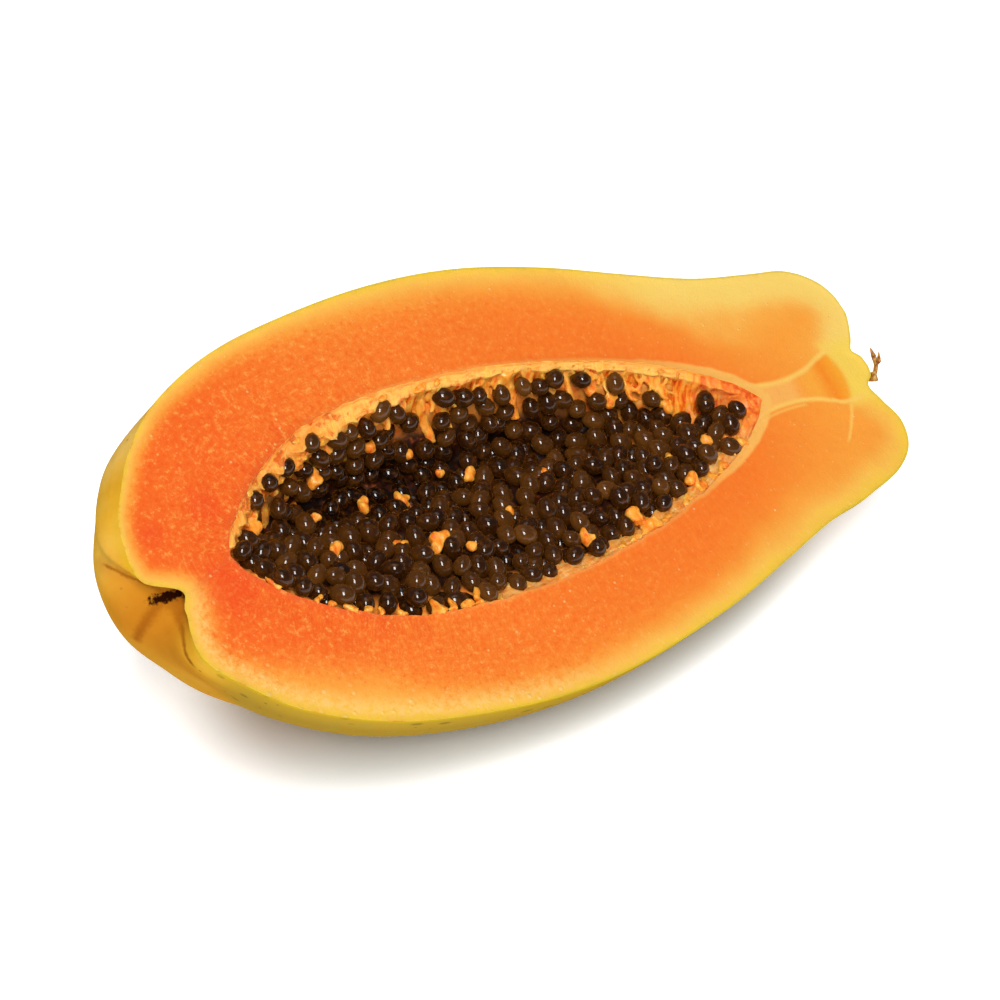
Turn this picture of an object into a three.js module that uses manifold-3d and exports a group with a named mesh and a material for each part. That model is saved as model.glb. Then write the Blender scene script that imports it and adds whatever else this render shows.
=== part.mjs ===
// Half of a ripe papaya, cut from blossom end to stem end through its seed cavity.
// Millimetres, +Z up. The fruit lies on its rind with the cut face leaning over to one side.
// Inside the fruit group: +X runs from the blossom end to the stem end, +Y points to the raised
// side, and +Z is square to the cut face, with all of the flesh at or below z = 0.
import * as THREE from "three";
import { mergeVertices } from "three/addons/utils/BufferGeometryUtils.js";
import Module from "manifold-3d";

// ---- driving dimensions (mm, degrees) ----
const LEAN_DEG = 30.45; // cut face leaning over its length
const PITCH_DEG = 8.43; // stem end lower than the blossom end
const REST_DEPTH = 3; // flat spot pressed into the rind where the fruit lies
const BODY_RINGS = 44;
const BODY_SIDES = 64;
const CAVITY_DEPTH_RATIO = 0.94; // depth of the cavity against its half width
const CAVITY_SIDE_SHIFT = -0.6;
const SEED_GAP = 0.5; // seed heap to cavity wall
const SEED_PITCH = 5.75; // least spacing of the seeds over the heap
const SEED_SIZE = [3.7, 3.1, 2.9]; // half axes of one seed
const STEM_GAP = 0.35;

// Profile of the whole fruit: distance along the axis, radius.
const PROFILE = [
  [-139, 0], [-138.5, 8], [-136.5, 17], [-131, 26.5], [-122.5, 35.5], [-107, 49], [-82, 60.1],
  [-50, 66.1], [-20, 68.3], [8, 66.5], [36, 60.1], [62, 51.3], [86, 43.5], [106, 39.7], [120, 37.2],
  [129.6, 30.2], [132.7, 20.5], [129.6, 11.5], [127.2, 6.6], [129.6, 3.6], [130.4, 0],
];
// Swelling of the rind round the fruit: angle below the cut face from the raised side, height.
const BLOSSOM_LOBES = [
  [0, 0], [6, 2.2], [12, 4.5], [18, 4.6], [26, 3.9], [36, 3.1], [60, 3.1], [90, 2.7], [108, 1.8],
  [121, -0.5], [131, -3.5], [141, -3.4], [152, -2.8], [165, -1.5], [180, 0.5],
];
const MIDDLE_LOBES = [
  [0, 0], [30, 0.5], [60, 1.5], [85, 3.5], [105, 2], [125, 0.2], [150, 0], [165, 0], [180, 1],
];
const DIMPLE = { y: -6, z: -4 };
// Folds running out from the blossom dimple: angle, depth, half width, reach.
const FOLDS = [
  { deg: -25, depth: 6, width: 3.6, reach: 20 },
  { deg: -120, depth: 5, width: 3.6, reach: 18 },
  { deg: -179, depth: 10, width: 7, reach: 26 },
];
// Half outline of the seed cavity in the cut face.
const CAVITY = [
  [-107, 0], [-104, 6.5], [-95, 15.5], [-82, 24.5], [-62, 32.5], [-38, 35.3], [-12, 35.2],
  [14, 32], [38, 26.5], [60, 18.3], [78, 8], [86, 0],
];

// Depth of the seed heap's core across the cavity, from the low rim to the raised one, as a share
// of the half width there.
const HEAP_DEPTH = [
  [-1, 0.05], [-0.55, 0.12], [-0.1, 0.33], [0.3, 0.57], [0.52, 0.59], [0.72, 0.38], [0.88, 0.17],
  [1, 0.1],
];

// ---- helpers ----
const wasm = await Module();
wasm.setup();

const rad = THREE.MathUtils.degToRad;
const smooth = THREE.MathUtils.smoothstep; // (x, edge0, edge1)

function toSolid(geometry) {
  const bare = geometry.clone();
  for (const name of Object.keys(bare.attributes)) if (name !== "position") bare.deleteAttribute(name);
  const merged = mergeVertices(bare, 1e-5);
  const source = merged.index.array;
  const faces = [];
  for (let i = 0; i < source.length; i += 3) {
    const [a, b, c] = [source[i], source[i + 1], source[i + 2]];
    if (a !== b && b !== c && c !== a) faces.push(a, b, c);
  }
  const mesh = new wasm.Mesh({
    numProp: 3,
    vertProperties: new Float32Array(merged.attributes.position.array),
    triVerts: new Uint32Array(faces),
  });
  mesh.merge();
  return new wasm.Manifold(mesh);
}

function toGeometry(solid) {
  const mesh = solid.getMesh();
  const geometry = new THREE.BufferGeometry();
  geometry.setAttribute("position", new THREE.BufferAttribute(new Float32Array(mesh.vertProperties), 3));
  geometry.setIndex(new THREE.BufferAttribute(new Uint32Array(mesh.triVerts), 1));
  geometry.computeVertexNormals();
  return geometry;
}

// Keeps the largest body: sealed hollows fill up and loose scraps go.
function largestBody(solid) {
  return solid.decompose().reduce((a, b) => (b.volume() > a.volume() ? b : a));
}

function stepTable(table, value) {
  for (let i = 1; i < table.length; i++) {
    const [x0, y0] = table[i - 1];
    const [x1, y1] = table[i];
    if (value <= x1) return y0 + (y1 - y0) * smooth(value, x0, x1);
  }
  return table[table.length - 1][1];
}

function seededRandom(seed) {
  let state = seed;
  return () => {
    state = (state * 16807) % 2147483647;
    return state / 2147483647;
  };
}

// A turned body lying along X whose vertices are then moved by place(t, angle, x, radius).
function turned(curve, rings, sides, place) {
  const spread = [];
  for (let i = 0; i <= rings; i++) spread.push(curve.getPoint(ringAt(i / rings)));
  const geometry = new THREE.LatheGeometry(spread.map((p) => new THREE.Vector2(p.y, p.x)), sides);
  const position = geometry.attributes.position;
  for (let s = 0; s <= sides; s++) {
    for (let i = 0; i <= rings; i++) {
      const angle = (s / sides) * Math.PI * 2;
      const point = place(ringAt(i / rings), angle, spread[i].x, Math.abs(spread[i].y));
      position.setXYZ(s * (rings + 1) + i, point.x, point.y, point.z);
    }
  }
  const solid = toSolid(geometry);
  return solid.volume() < 0 ? toSolid(flipped(geometry)) : solid;
}

// Rings stand closer together toward both ends of the fruit.
function ringAt(u) {
  return u - 0.055 * Math.sin(2 * Math.PI * u);
}

function flipped(geometry) {
  const index = geometry.index.array;
  for (let i = 0; i < index.length; i += 3) [index[i], index[i + 1]] = [index[i + 1], index[i]];
  return geometry;
}

function block(width, depth, height, x, y, z) {
  return new THREE.BoxGeometry(width, depth, height).translate(x, y, z);
}

// ---- rind and flesh ----
const profile = new THREE.SplineCurve(PROFILE.map(([x, r]) => new THREE.Vector2(x, r)));

function bodyPoint(t, angle, x, radius) {
  const before = profile.getPoint(Math.max(0, t - 1e-4));
  const after = profile.getPoint(Math.min(1, t + 1e-4));
  const along = after.sub(before).normalize();
  const below = THREE.MathUtils.radToDeg(Math.min(angle, 2 * Math.PI - angle));
  const raised = smooth(below, 20, 60);
  const blossom = 1 - smooth(x, -122 + 12 * raised, -100 + 55 * raised);
  const stem = smooth(x, 70, 120);
  const off = smooth(radius, 0, 14);
  let swell = blossom * off * stepTable(BLOSSOM_LOBES, below);
  swell += (1 - blossom) * (1 - stem) * stepTable(MIDDLE_LOBES, below);
  swell -= 1.9 * off * Math.exp(-(((x - 14) / 32) ** 2)) * smooth(below, 110, 150);
  swell += 0.9 * stem * off * Math.cos(4 * rad(below));

  const y0 = radius * Math.cos(angle);
  const z0 = -radius * Math.abs(Math.sin(angle));
  const dy = y0 - DIMPLE.y;
  const dz = z0 - DIMPLE.z;
  const reach = Math.hypot(dy, dz);
  let dip = 12.5 * Math.exp(-((reach / 6.2) ** 3)) + 2.5 * Math.exp(-((reach / 14) ** 2));
  for (const fold of FOLDS) {
    const turn = rad(((THREE.MathUtils.radToDeg(Math.atan2(dz, dy)) - fold.deg + 540) % 360) - 180);
    const side = reach * Math.sin(THREE.MathUtils.clamp(turn, -Math.PI / 2, Math.PI / 2));
    const out = reach * Math.cos(turn);
    dip += fold.depth * Math.exp(-((side / fold.width) ** 2))
      * Math.exp(-((Math.max(out, 0) / fold.reach) ** 2)) * smooth(out, -3, 6);
  }
  dip *= 1 - smooth(x, -60, -20);
  const r = radius + along.x * swell;
  return new THREE.Vector3(x - along.y * swell + dip, r * Math.cos(angle), -r * Math.sin(angle));
}

// The cavity, or with an inset the space inside it. Its upper half is upright above the cut face.
function cavitySolid(inset, rings, sides) {
  const outline = CAVITY.map(([x, r], i) => {
    const end = i === 0 ? inset : i === CAVITY.length - 1 ? -inset : 0;
    return new THREE.Vector2(x + end, Math.max(0, r - (r > 0 ? inset : 0)));
  });
  return turned(new THREE.SplineCurve(outline), rings, sides, (t, angle, x, radius) =>
    new THREE.Vector3(
      x,
      radius * Math.cos(angle) + CAVITY_SIDE_SHIFT,
      -radius * Math.sin(angle) * (angle > Math.PI ? 0.5 : CAVITY_DEPTH_RATIO),
    ));
}

const lean = new THREE.Euler(rad(LEAN_DEG), rad(PITCH_DEG), 0, "YXZ");
const up = new THREE.Vector3(0, 0, 1).applyQuaternion(new THREE.Quaternion().setFromEuler(lean).invert());

function fruitSolid() {
  let body = turned(profile, BODY_RINGS, BODY_SIDES, bodyPoint);
  body = body.subtract(toSolid(block(400, 300, 200, 0, 0, 100)));
  const vertices = body.getMesh().vertProperties;
  let lowest = Infinity;
  for (let i = 0; i < vertices.length; i += 3) {
    lowest = Math.min(lowest, vertices[i] * up.x + vertices[i + 1] * up.y + vertices[i + 2] * up.z);
  }
  const floor = block(500, 400, 60, 0, 0, lowest + REST_DEPTH - 30)
    .applyQuaternion(new THREE.Quaternion().setFromUnitVectors(new THREE.Vector3(0, 0, 1), up));
  body = body.subtract(toSolid(floor));
  return body.subtract(cavitySolid(0, 26, 44));
}

// ---- seed heap ----
const outlineCurve = new THREE.SplineCurve(CAVITY.map(([x, r]) => new THREE.Vector2(x, r)));
const outlineSteps = outlineCurve.getPoints(240);

function cavityHalf(x) {
  for (let i = 1; i < outlineSteps.length; i++) {
    const a = outlineSteps[i - 1];
    const b = outlineSteps[i];
    if (x >= a.x && x <= b.x) return a.y + ((b.y - a.y) * (x - a.x)) / (b.x - a.x + 1e-9);
  }
  return 0;
}

// Top of the heap's core: near the low rim, falling to a trough, then up the raised wall.
function heapTop(x, y) {
  const half = Math.max(cavityHalf(x), 1);
  const across = THREE.MathUtils.clamp((y - CAVITY_SIDE_SHIFT) / half, -1, 1);
  const bumps = 0.5 * Math.sin(x * 0.33 + 1.3) + 0.4 * Math.sin(y * 0.41 + x * 0.13);
  return -1.8 - half * stepTable(HEAP_DEPTH, across) + bumps;
}

function seedSolid() {
  const room = cavitySolid(SEED_GAP, 22, 30);
  const cover = new THREE.BoxGeometry(210, 84, 60, 18, 14, 1).translate(-10, 0, 0);
  const position = cover.attributes.position;
  for (let i = 0; i < position.count; i++) {
    const top = position.getZ(i) > 0;
    position.setZ(i, top ? 30 : heapTop(position.getX(i), position.getY(i)));
  }
  let heap = room.subtract(toSolid(cover));
  for (const seed of seedPieces()) heap = heap.add(toSolid(seed));
  return largestBody(heap);
}

// Seeds are thrown over the heap one by one, and a throw too near an earlier seed is passed over.
function seedPieces() {
  const random = seededRandom(4711);
  const places = [];
  const pieces = [];
  for (let i = 0; i < 9000; i++) {
    const x = -104 + 186 * random();
    const y = -35 + 70 * random();
    const z = heapTop(x, y) + 1 + 1.2 * random();
    const turn = [random() * 3.1, random() * 3.1, random() * 3.1];
    const size = 0.92 + 0.16 * random();
    const wall = cavityHalf(x) - Math.hypot(y - CAVITY_SIDE_SHIFT, Math.min(z, 0) / CAVITY_DEPTH_RATIO);
    const slope = (cavityHalf(x + 2) - cavityHalf(x - 2)) / 4;
    if (wall / Math.hypot(1, slope) < SEED_SIZE[0] + SEED_GAP) continue;
    const here = new THREE.Vector3(x, y, z);
    if (places.some((other) => other.distanceTo(here) < SEED_PITCH)) continue;
    places.push(here);
    const piece = new THREE.IcosahedronGeometry(1, 0).scale(...SEED_SIZE.map((s) => s * size * 1.06));
    pieces.push(piece.rotateX(turn[0]).rotateY(turn[1]).rotateZ(turn[2]).translate(x, y, z));
  }
  return pieces;
}

// ---- dried stalk ----
function strand(points, radii, sides) {
  const path = new THREE.CatmullRomCurve3(points.map((p) => new THREE.Vector3(...p)));
  const rings = radii.length - 1;
  const lathe = [new THREE.Vector2(0, 0)];
  radii.forEach((r, i) => lathe.push(new THREE.Vector2(r, i)));
  lathe.push(new THREE.Vector2(0, rings));
  const geometry = new THREE.LatheGeometry(lathe, sides);
  const position = geometry.attributes.position;
  const frames = path.computeFrenetFrames(rings, false);
  for (let i = 0; i < position.count; i++) {
    const ring = Math.round(position.getY(i));
    const at = path.getPoint(ring / rings)
      .addScaledVector(frames.normals[ring], position.getX(i))
      .addScaledVector(frames.binormals[ring], position.getZ(i));
    position.setXYZ(i, at.x, at.y, at.z);
  }
  const solid = toSolid(geometry);
  return solid.volume() < 0 ? toSolid(flipped(geometry)) : solid;
}

function stemSolid() {
  const foot = 130.4 + STEM_GAP;
  const parts = [
    strand([[foot, -3.2, -1.8], [foot + 1, -3.8, -2], [foot + 2.2, -4.6, -2.6]], [1.7, 1.4, 0.5], 8),
    strand([[foot + 0.7, -3.6, -1.8], [foot + 1.4, -2.2, 0], [foot + 1.4, -0.6, 2.2]], [1, 0.75, 0.75], 6),
    strand([[foot + 1.3, -0.9, 1.8], [foot + 0.4, 1.2, 3.6], [foot - 1, 3.1, 5.6]], [0.75, 0.8, 0.25], 6),
    strand([[foot + 1.3, -0.9, 1.8], [foot + 1.6, -0.9, 3.2], [foot + 0.8, 0.8, 6]], [0.75, 0.8, 0.25], 6),
  ];
  return largestBody(parts.reduce((stalk, part) => stalk.add(part)));
}

// ---- object ----
function piece(name, solid, color, roughness) {
  const mesh = new THREE.Mesh(toGeometry(solid), new THREE.MeshStandardMaterial({ color, roughness }));
  mesh.name = name;
  return mesh;
}

const fruit = new THREE.Group();
fruit.rotation.copy(lean);
fruit.add(
  piece("fruit_half", fruitSolid(), 0xf58a2c, 0.45),
  piece("seed_heap", seedSolid(), 0x2b1a12, 0.25),
  piece("stem_remnant", stemSolid(), 0x8a5a28, 0.85),
);

const papaya = new THREE.Group();
papaya.add(fruit);
papaya.updateMatrixWorld(true);
const bounds = new THREE.Box3().setFromObject(papaya, true);
const centre = bounds.getCenter(new THREE.Vector3());
fruit.position.set(-centre.x, -centre.y, -bounds.min.z);

export default papaya;
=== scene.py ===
import math
import random

import bpy
import numpy as np
from mathutils import Euler, Matrix, Vector, geometry, noise


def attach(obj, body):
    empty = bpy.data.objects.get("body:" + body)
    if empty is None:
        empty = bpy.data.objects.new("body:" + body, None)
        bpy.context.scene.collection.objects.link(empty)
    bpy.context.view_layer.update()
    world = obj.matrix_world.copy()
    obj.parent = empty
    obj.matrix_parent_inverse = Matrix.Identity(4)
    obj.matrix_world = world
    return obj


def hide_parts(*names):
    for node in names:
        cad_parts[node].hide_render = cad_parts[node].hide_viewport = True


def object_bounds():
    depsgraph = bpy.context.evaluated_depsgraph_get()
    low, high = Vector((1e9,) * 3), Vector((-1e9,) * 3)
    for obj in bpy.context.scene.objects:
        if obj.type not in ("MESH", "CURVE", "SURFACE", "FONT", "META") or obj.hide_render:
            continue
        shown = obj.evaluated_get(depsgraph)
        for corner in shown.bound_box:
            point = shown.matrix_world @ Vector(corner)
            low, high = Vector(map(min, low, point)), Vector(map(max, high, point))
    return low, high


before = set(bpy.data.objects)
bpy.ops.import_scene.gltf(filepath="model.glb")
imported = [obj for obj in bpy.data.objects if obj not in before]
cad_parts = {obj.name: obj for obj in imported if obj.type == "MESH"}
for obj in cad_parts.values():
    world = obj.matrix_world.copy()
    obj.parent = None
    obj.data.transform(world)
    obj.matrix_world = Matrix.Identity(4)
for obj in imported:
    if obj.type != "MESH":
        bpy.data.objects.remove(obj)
cad_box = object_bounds()

# ---- Studio ----
# A white table, one tall soft window above and behind the camera that leaves streaks of light on
# the wet seeds, a weak lamp overhead, and plain white surroundings.
FLOOR_WHITE = (0.88, 0.93, 0.97, 1.0)
# The table's painted glow, light from a table that is no lamp: its strength under the fruit and away
# from it, and half the size of what it is under.
FLOOR_GLOW = (0.03, 0.48)
FRUIT_REACH = (0.137, 0.064)
ROOM_LIGHT = 0.15
LAMP_AIM = (0.0, 0.0, 0.05)


def add_object(name, data):
    made = bpy.data.objects.new(name, data)
    bpy.context.scene.collection.objects.link(made)
    return made


camera = add_object("camera", bpy.data.cameras.new("camera"))
camera.location = (-0.4808, -0.6342, 0.6493)
camera.rotation_euler = (math.radians(53.0), 0.0, math.radians(-36.74))
camera.data.lens = 122.4
camera.data.sensor_width = 36.0
camera.data.clip_start = 0.05
camera.data.clip_end = 20.0
bpy.context.scene.camera = camera


def lamp(name, place, size, watts):
    """A soft rectangular lamp at a place, turned toward the fruit."""
    data = bpy.data.lights.new(name, "AREA")
    data.shape = "RECTANGLE"
    data.size, data.size_y = size
    data.energy = watts
    made = add_object(name, data)
    made.location = place
    made.rotation_euler = (Vector(LAMP_AIM) - Vector(place)).to_track_quat("-Z", "Y").to_euler()


lamp("overhead_softbox", (0.1, 0.0, 3.05), (1.6, 1.6), 12.6)
lamp("tall_window", (-1.363, -2.181, 3.114), (0.95, 2.1), 198.0)

world = bpy.data.worlds.new("white_room")
world.use_nodes = True
walls = world.node_tree.nodes["Background"].inputs
walls["Color"].default_value = (1.0, 1.0, 1.0, 1.0)
walls["Strength"].default_value = ROOM_LIGHT
bpy.context.scene.world = world
bpy.context.scene.view_settings.view_transform = "Standard"


class Signal:
    """What comes out of a shader node, open to plain arithmetic."""

    def __init__(self, made, output=0):
        self.socket, self.tree = made.outputs[output], made.id_data

    def maths(self, operation, *others):
        made = node(self.tree, "ShaderNodeMath", enumerate((self, *others)), operation=operation)
        return Signal(made)

    def __add__(self, other):
        return self.maths("ADD", other)

    def __sub__(self, other):
        return self.maths("SUBTRACT", other)

    def __mul__(self, other):
        return self.maths("MULTIPLY", other)

    def __truediv__(self, other):
        return self.maths("DIVIDE", other)

    def __abs__(self):
        return self.maths("ABSOLUTE")


def feed(socket, value):
    """Gives an input a number, a colour or a signal."""
    if isinstance(value, Signal):
        value.tree.links.new(value.socket, socket)
    else:
        socket.default_value = value


def node(tree, kind, values=(), **settings):
    """Adds a shader node. values gives what each input takes, by the input's name or number."""
    made = tree.nodes.new(kind)
    for name, value in settings.items():
        setattr(made, name, value)
    for name, value in dict(values).items():
        feed(made.inputs[name], value)
    return made


def between(value, low, high, out_low=0.0, out_high=1.0):
    """Eases from out_low to out_high as the value goes from low to high."""
    ends = {"Value": value, "From Min": low, "From Max": high, "To Min": out_low, "To Max": out_high}
    return Signal(node(value.tree, "ShaderNodeMapRange", ends, interpolation_type="SMOOTHSTEP"))


def finish_surface(shader, **sockets):
    """Sets the shader's inputs, each named with _ for a space."""
    for name, value in sockets.items():
        feed(shader.inputs[name.replace("_", " ")], value)


def new_material(name):
    made = bpy.data.materials.new(name)
    made.use_nodes = True
    return made, made.node_tree, made.node_tree.nodes["Principled BSDF"]


bpy.ops.object.select_all(action="DESELECT")
bpy.ops.mesh.primitive_plane_add(size=12.0)
table_top = bpy.context.object
table_top.name = "table_top"
table_paint, tree, shader = new_material("white_table")
# The table glows with painted light, weak under the fruit and strong round it, so it turns pure white a
# little away from it.
away = Signal(node(tree, "ShaderNodeTexCoord"), "Object")
reach = {0: away, 1: (1 / FRUIT_REACH[0], 1 / FRUIT_REACH[1], 0.0)}
away = Signal(node(tree, "ShaderNodeVectorMath", reach, operation="MULTIPLY"))
away = Signal(node(tree, "ShaderNodeVectorMath", {0: away}, operation="LENGTH"), "Value")
finish_surface(
    shader, Base_Color=FLOOR_WHITE, Roughness=0.9, Specular_IOR_Level=0.1,
    Emission_Color=(1.0, 1.0, 1.0, 1.0), Emission_Strength=between(away, 0.62, 0.96, *FLOOR_GLOW),
)
table_top.data.materials.append(table_paint)

# ---- Fruit half ----
# The rind and flesh of the half are one body: a thin waxy yellow rind outside, soft orange flesh
# on the cut face, and the hollow that held the seeds. It is grown, then cut with a knife.
# Sizes are in the fruit's own millimetres: x from blossom end to stem end, y toward the raised
# side, z square to the cut face.
LEAN = math.radians(30.45)
PITCH = math.radians(8.43)
FRUIT_PLACE = (3.0544, -4.7777, 64.5868)
PROFILE = [
    (-139, 0), (-138.5, 8), (-136.5, 17), (-131, 26.5), (-122.5, 35.5), (-107, 49), (-82, 60.1),
    (-50, 66.1), (-20, 68.3), (8, 66.5), (36, 60.1), (62, 51.3), (86, 43.5), (106, 39.7),
    (120, 37.2), (129.6, 30.2), (132.7, 20.5), (129.6, 11.5), (127.2, 6.6), (129.6, 3.6),
    (130.4, 0),
]
BLOSSOM_LOBES = [
    (0, 0), (6, 2.2), (12, 4.5), (18, 4.6), (26, 3.9), (36, 3.1), (60, 3.1), (90, 2.7),
    (108, 1.8), (121, -0.5), (131, -3.5), (141, -3.4), (152, -2.8), (165, -1.5), (180, 0.5),
]
MIDDLE_LOBES = [
    (0, 0), (30, 0.5), (60, 1.5), (85, 3.5), (105, 2), (125, 0.2), (150, 0), (165, 0), (180, 1),
]
# How much the low side draws in at the waist, the stalk end swells in four lobes and is flat below,
# and the blossom end is flat above.
WAIST, STALK_LOBES, STALK_FLAT, BLOSSOM_FLAT = 1.9, 0.9, 2.6, 2.2
# The blossom dimple: its middle, then depth and radius of its hole and of the dish round it.
DIMPLE = (-6.0, -4.0)
HOLE, DISH = (14.8, 4.37), (3.5, 14)
# Folds round the dimple: direction, depth, width below, length, width above, its growth.
FOLDS = [
    (-15, 6.0, 3.6, 20, 3.6, 0), (-105, 4.0, 4.4, 18, 4.4, 0), (153.3, 9.9, 9.0, 18.7, 4.6, -0.141),
]
CAVITY = [
    (-107, 0), (-104, 6.5), (-95, 15.5), (-82, 24.5), (-62, 32.5), (-38, 35.3), (-12, 35.2),
    (14, 32), (38, 26.5), (60, 18.3), (78, 8), (86, 0),
]
CAVITY_DEPTH = 0.94
CAVITY_SHIFT = -0.6
RINGS, RIND_SIDES, LINING_SIDES = 200, 130, 90
# The cut face: half its size, the pitch of its corners, their gaps from the rind and the cavity,
# and the step between corners along its edges.
FACE_REACH, FACE_PITCH, FACE_GAPS, EDGE_STEP = (142, 72), 1.15, (0.7, 0.6), 0.3
MERGE_GAP = 0.000002
SHARP_EDGE = math.radians(42)
FRUIT_TURN = np.array(Matrix.Rotation(PITCH, 3, "Y") @ Matrix.Rotation(LEAN, 3, "X"))


def spline(points, t):
    """Points on an evenly timed curve through the given ones."""
    p = np.asarray(points, float)
    last = len(p) - 1
    at = last * np.clip(np.asarray(t, float), 0, 1)
    i = np.minimum(np.floor(at).astype(int), last - 1)
    w = (at - i)[:, None]
    before, a, b, after = p[np.maximum(i - 1, 0)], p[i], p[i + 1], p[np.minimum(i + 2, last)]
    start, end = (b - before) / 2, (after - a) / 2
    cubic = (2 * a - 2 * b + start + end) * w**3
    return cubic + (-3 * a + 3 * b - 2 * start - end) * w**2 + start * w + a


def smooth(x, low, high):
    s = np.clip((np.asarray(x, float) - low) / (high - low), 0, 1)
    return s * s * (3 - 2 * s)


def rolling(table, degrees):
    """Reads a table of (angle, value) along one soft curve, and keeps its first and last value."""
    places, values = np.array(table, float).T
    reach = np.minimum(8, np.minimum(degrees, 180 - degrees))
    near = [np.interp(degrees + reach * k, places, values) for k in np.linspace(-1, 1, 9)]
    return np.mean(near, 0)


def crowded(u):
    """Spreads rings closer together toward both ends."""
    return u - 0.055 * np.sin(2 * np.pi * u)


def rind_point(t, angle):
    """Points on the rind at step t along the fruit and an angle below the raised rim."""
    x, radius = spline(PROFILE, t).T
    radius = np.abs(radius)
    along = spline(PROFILE, t + 1e-4) - spline(PROFILE, t - 1e-4)
    along /= np.linalg.norm(along, axis=1)[:, None]
    below = np.degrees(angle)
    raised = smooth(below, 20, 60)
    low, high = -122 + 12 * raised, -100 + 55 * raised
    blossom = 1 - smooth((x - low) / (high - low), 0, 1)
    stem = smooth(x, 70, 120)
    off = smooth(radius, 0, 14)
    swell = blossom * off * rolling(BLOSSOM_LOBES, below)
    swell += (1 - blossom) * (1 - stem) * rolling(MIDDLE_LOBES, below)
    swell -= WAIST * off * np.exp(-(((x - 14) / 32) ** 2)) * smooth(below, 110, 150)
    swell += STALK_LOBES * stem * off * np.cos(4 * angle)
    swell -= STALK_FLAT * off * smooth(x, 98, 124) * np.exp(-(((180 - below) / 32) ** 2))
    swell -= BLOSSOM_FLAT * smooth(-x, 120, 133) * off * np.exp(-((below / 34) ** 2))
    dy = radius * np.cos(angle) - DIMPLE[0]
    dz = -radius * np.sin(angle) - DIMPLE[1]
    reach = np.hypot(dy, dz)
    dip = HOLE[0] * np.exp(-((reach / HOLE[1]) ** 3)) + DISH[0] * np.exp(-((reach / DISH[1]) ** 2))
    for degrees, depth, width, length, above, growth in FOLDS:
        turn = np.radians((np.degrees(np.arctan2(dz, dy)) - degrees + 540) % 360 - 180)
        side = reach * np.sin(np.clip(turn, -np.pi / 2, np.pi / 2))
        out = reach * np.cos(turn)
        width = np.where(side < 0, np.maximum(above + growth * np.maximum(out, 0), 0.8), width)
        groove = np.exp(-((side / width) ** 2)) * np.exp(-((np.maximum(out, 0) / length) ** 2))
        dip += depth * groove * smooth(out, -3, 6)
    dip *= 1 - smooth(x, -60, -20)
    r = radius + along[:, 0] * swell
    return np.stack([x - along[:, 1] * swell + dip, r * np.cos(angle), -r * np.sin(angle)], 1)


def wave(points, size, seed):
    """Soft noise from -1 to 1 at each point, with waves about as long as size."""
    shift = Vector((seed * 17.3, seed * 5.9, seed * 11.1))
    return np.array([noise.noise(Vector(p) / size + shift) for p in points])


def cavity_point(t, angle):
    """Points on the smooth wall of the seed cavity."""
    x, half = spline(CAVITY, t).T
    half = np.maximum(half, 0)
    y = half * np.cos(angle) + CAVITY_SHIFT
    return np.stack([x, y, -CAVITY_DEPTH * half * np.sin(angle)], 1)


def cavity_lining(t, angle):
    """The wall with its fibres: ridges that run down from the rim, and small lumps."""
    smooth_wall = cavity_point(t, angle)
    below = -smooth_wall[:, 2]
    deep = smooth(below, 0.2, 3.0)
    x, half = spline(CAVITY, t).T
    raised = 1 - smooth(np.degrees(angle), 40, 70)
    low = smooth(np.degrees(angle), 115, 145) * smooth(x, -52, -24)
    blossom = 1 - smooth(x, -58, -36)
    ridges = np.stack([x, np.degrees(angle) * 0.12, half * 0.05], 1)
    height = 0.9 * wave(ridges, 2.6, 1) + 0.7 * wave(smooth_wall, 5.0, 2)
    # Thick tissue under the raised rim, thickest in the middle, with a thin lip.
    height += raised * (1.2 + 1.9 * np.exp(-(((x + 38) / 32) ** 2))) * smooth(below, 0, 4)
    height += 1.4 * raised * (1 - blossom) * np.exp(-(((below - 2.0) / 1.4) ** 2))
    # A torn shelf at the blossom end, then the ledge along the low rim.
    height += blossom * (0.9 + 1.3 * wave(smooth_wall, 3.4, 7))
    shelf = 1.9 + 2.2 * wave(smooth_wall, 2.6, 13)
    height += shelf * blossom * raised * smooth(below, 0, 3.5) * (1 - smooth(below, 9, 16))
    ledge = 4.0 + 1.8 * wave(smooth_wall, 6.0, 11)
    height += low * ledge * smooth(below, 0, 4) * (1 - smooth(below, 8, 15))
    rim = 0.5 * wave(smooth_wall, 4.0, 3) + 0.35 * wave(smooth_wall, 1.8, 4)
    inward = np.where(half > 4, height * deep + rim, 0) * smooth(half, 2, 8)
    way = np.stack([0 * x, -np.cos(angle), np.sin(angle)], 1)
    return smooth_wall + way * inward[:, None]


def placed(points):
    """From the fruit's own millimetres to the object's metres, within the object's own size."""
    return np.clip((points @ FRUIT_TURN.T + FRUIT_PLACE) / 1000, *np.array(cad_box))


def note(mesh, name, values):
    """Keeps a number or a vector at each vertex, for the material to read."""
    kind, key = ("FLOAT_VECTOR", "vector") if values.ndim > 1 else ("FLOAT", "value")
    layer = mesh.attributes.new(name, kind, "POINT")
    layer.data.foreach_set(key, np.asarray(values, np.float32).ravel())


def kept(mesh, key):
    """What a mesh holds at its vertices, three numbers each."""
    values = np.zeros(len(mesh.vertices) * 3)
    mesh.vertices.foreach_get(key, values)
    return values.reshape(-1, 3)


def unit_grid(name, rings, sides):
    """A flat grid, and how far each corner lies along its length and its width, from 0 to 1."""
    bpy.ops.object.select_all(action="DESELECT")
    bpy.ops.mesh.primitive_grid_add(x_subdivisions=rings, y_subdivisions=sides, size=1.0)
    sheet = bpy.context.object
    sheet.name = sheet.data.name = name
    flat = kept(sheet.data, "co") + 0.5
    return sheet, flat[:, 0], flat[:, 1]


def rolled_sheet(name, rings, sides, point):
    """A grid rolled up along the fruit: its length becomes t and its width the angle."""
    sheet, length, width = unit_grid(name, rings, sides)
    return sheet, point(crowded(length), np.pi * width)


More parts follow.
